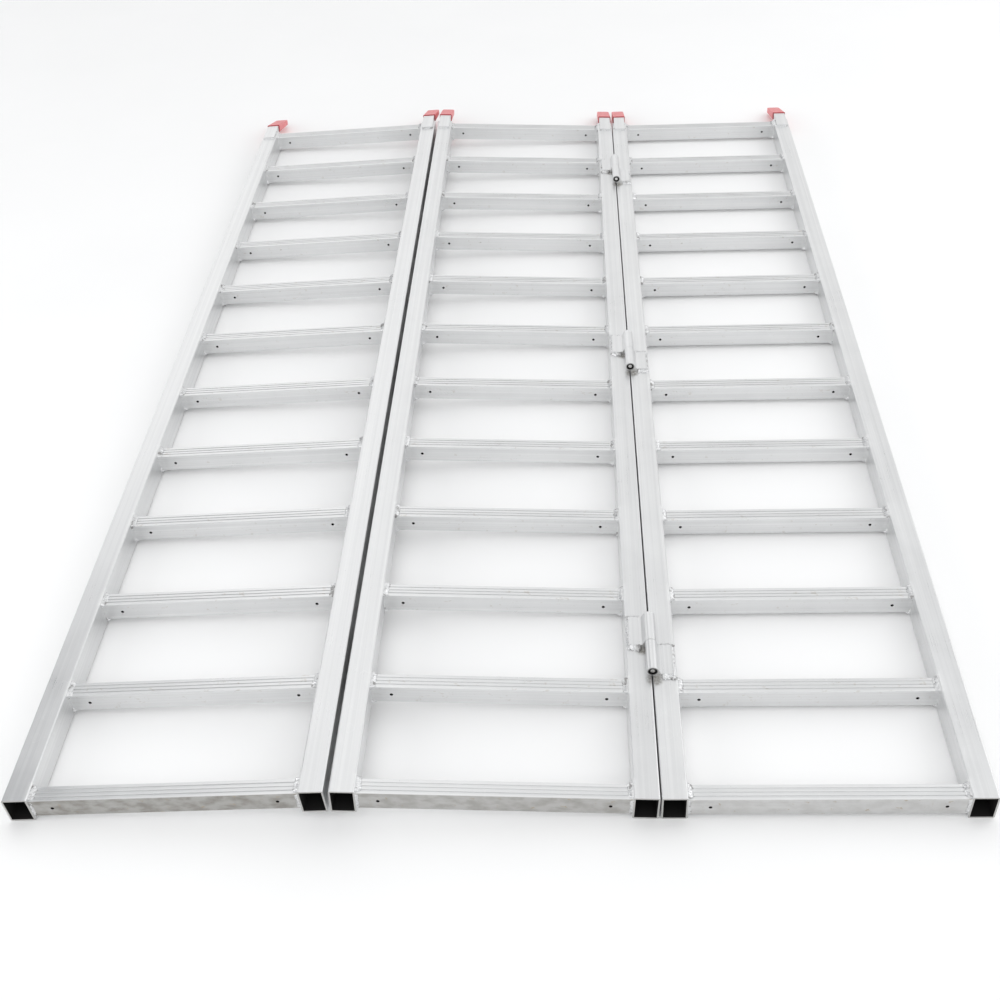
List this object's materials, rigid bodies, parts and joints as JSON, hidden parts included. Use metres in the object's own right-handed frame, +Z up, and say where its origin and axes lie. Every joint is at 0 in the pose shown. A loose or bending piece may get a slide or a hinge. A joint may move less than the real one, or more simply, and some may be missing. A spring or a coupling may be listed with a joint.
{
  "type": "folding loading ramp",
  "caption": "Three-panel folding loading ramp: ladder panels of square-edged aluminium tube with ribbed rungs, hinged into a Z, with bent covered fingers.",
  "frame": {"origin": "on the floor, in the middle of the open ramp", "axes": "+Y from the near end towards the fingers, +X across the ramp to the flat panel, +Z up"},
  "size_m": [1.2068, 1.9538, 0.0623],
  "materials": {
    "rail_aluminium": "mill finish extrusion, lightly brushed along its length",
    "rung_aluminium": "mill finish extrusion with ribbed tread",
    "finger_aluminium": "mill finish bar",
    "hinge_aluminium": "mill finish extrusion",
    "pin_steel": "bright plated rod",
    "red_vinyl": "satin soft vinyl"
  },
  "bodies": {
    "right_panel": {"right_panel_inner_finger": "finger_aluminium", "right_panel_inner_rail": "rail_aluminium", "right_panel_inner_tip_cover": "red_vinyl", "right_panel_outer_finger": "finger_aluminium", "right_panel_outer_rail": "rail_aluminium", "right_panel_outer_tip_cover": "red_vinyl", "right_panel_rung_01": "rung_aluminium", "right_panel_rung_02": "rung_aluminium", "right_panel_rung_03": "rung_aluminium", "right_panel_rung_04": "rung_aluminium", "right_panel_rung_05": "rung_aluminium", "right_panel_rung_06": "rung_aluminium", "right_panel_rung_07": "rung_aluminium", "right_panel_rung_08": "rung_aluminium", "right_panel_rung_09": "rung_aluminium", "right_panel_rung_10": "rung_aluminium", "right_panel_rung_11": "rung_aluminium", "right_panel_rung_12": "rung_aluminium", "top_hinge_right_leaves": "hinge_aluminium"},
    "centre_panel": {"centre_panel_left_finger": "finger_aluminium", "centre_panel_left_rail": "rail_aluminium", "centre_panel_left_tip_cover": "red_vinyl", "centre_panel_right_finger": "finger_aluminium", "centre_panel_right_rail": "rail_aluminium", "centre_panel_right_tip_cover": "red_vinyl", "centre_panel_rung_01": "rung_aluminium", "centre_panel_rung_02": "rung_aluminium", "centre_panel_rung_03": "rung_aluminium", "centre_panel_rung_04": "rung_aluminium", "centre_panel_rung_05": "rung_aluminium", "centre_panel_rung_06": "rung_aluminium", "centre_panel_rung_07": "rung_aluminium", "centre_panel_rung_08": "rung_aluminium", "centre_panel_rung_09": "rung_aluminium", "centre_panel_rung_10": "rung_aluminium", "centre_panel_rung_11": "rung_aluminium", "centre_panel_rung_12": "rung_aluminium", "top_hinge_centre_leaves": "hinge_aluminium", "top_hinge_pins": "pin_steel", "under_hinge_centre_leaves": "hinge_aluminium", "under_hinge_pins": "pin_steel"},
    "left_panel": {"left_panel_inner_finger": "finger_aluminium", "left_panel_inner_rail": "rail_aluminium", "left_panel_inner_tip_cover": "red_vinyl", "left_panel_outer_finger": "finger_aluminium", "left_panel_outer_rail": "rail_aluminium", "left_panel_outer_tip_cover": "red_vinyl", "left_panel_rung_01": "rung_aluminium", "left_panel_rung_02": "rung_aluminium", "left_panel_rung_03": "rung_aluminium", "left_panel_rung_04": "rung_aluminium", "left_panel_rung_05": "rung_aluminium", "left_panel_rung_06": "rung_aluminium", "left_panel_rung_07": "rung_aluminium", "left_panel_rung_08": "rung_aluminium", "left_panel_rung_09": "rung_aluminium", "left_panel_rung_10": "rung_aluminium", "left_panel_rung_11": "rung_aluminium", "left_panel_rung_12": "rung_aluminium", "under_hinge_left_leaves": "hinge_aluminium"}
  },
  "joints": [
    {"name": "right_fold", "type": "hinge", "parent": "right_panel", "child": "centre_panel", "pos_m": [0.20294, 0, 0.0495], "axis": [0, 1, 0], "range_deg": [-2.49, 178.3]},
    {"name": "left_fold", "type": "hinge", "parent": "centre_panel", "child": "left_panel", "pos_m": [-0.20074, 0, 0.008], "axis": [0, -1, 0], "range_deg": [-5, 177.5]}
  ]
}
